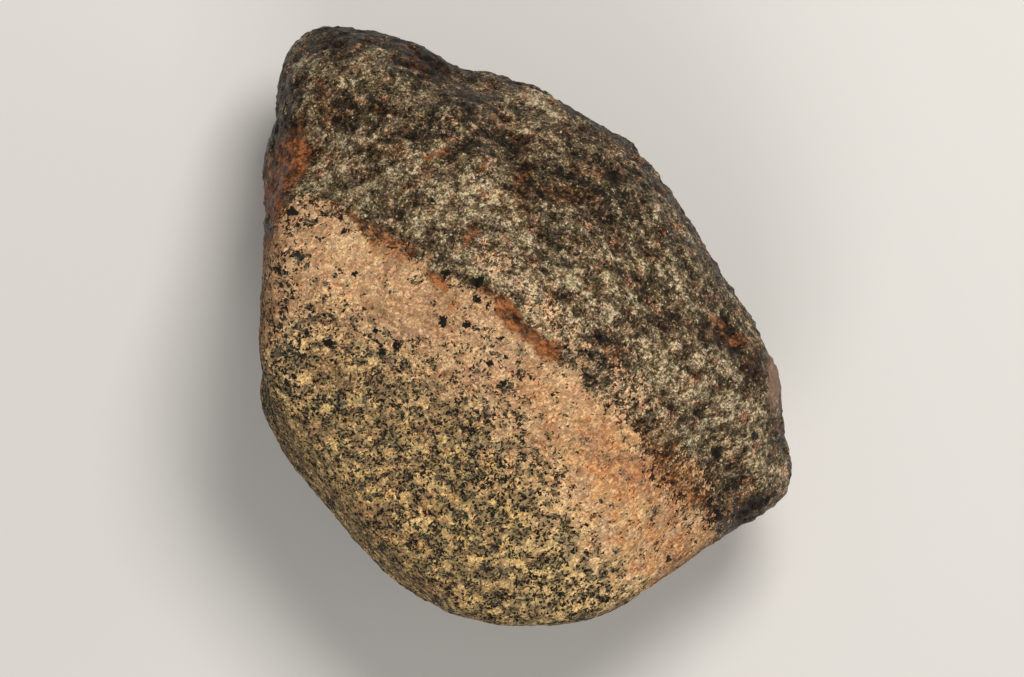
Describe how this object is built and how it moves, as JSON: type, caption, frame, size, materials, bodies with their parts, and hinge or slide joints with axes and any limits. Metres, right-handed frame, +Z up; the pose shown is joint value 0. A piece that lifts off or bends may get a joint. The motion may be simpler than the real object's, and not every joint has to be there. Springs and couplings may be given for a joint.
{
  "type": "martian meteorite",
  "caption": "Large rounded, faceted stone with a speckled dark crust on one side and a tan soil stain on the other, resting on a small flat spot.",
  "frame": {"origin": "middle of the stone's outline seen from above, on the surface it rests on", "axes": "+Z up from the flat spot, the way the picture looks down; +X to the picture's right; +Y to the picture's top, along the stone's longest side"},
  "size_m": [0.205, 0.231, 0.16],
  "materials": {
    "stone": "weathered, speckled with light and dark mineral grains, dark grey brown on one side and stained tan by soil on the other, dull with small glints"
  },
  "bodies": {
    "root": {"stone": "stone"}
  },
  "joints": []
}
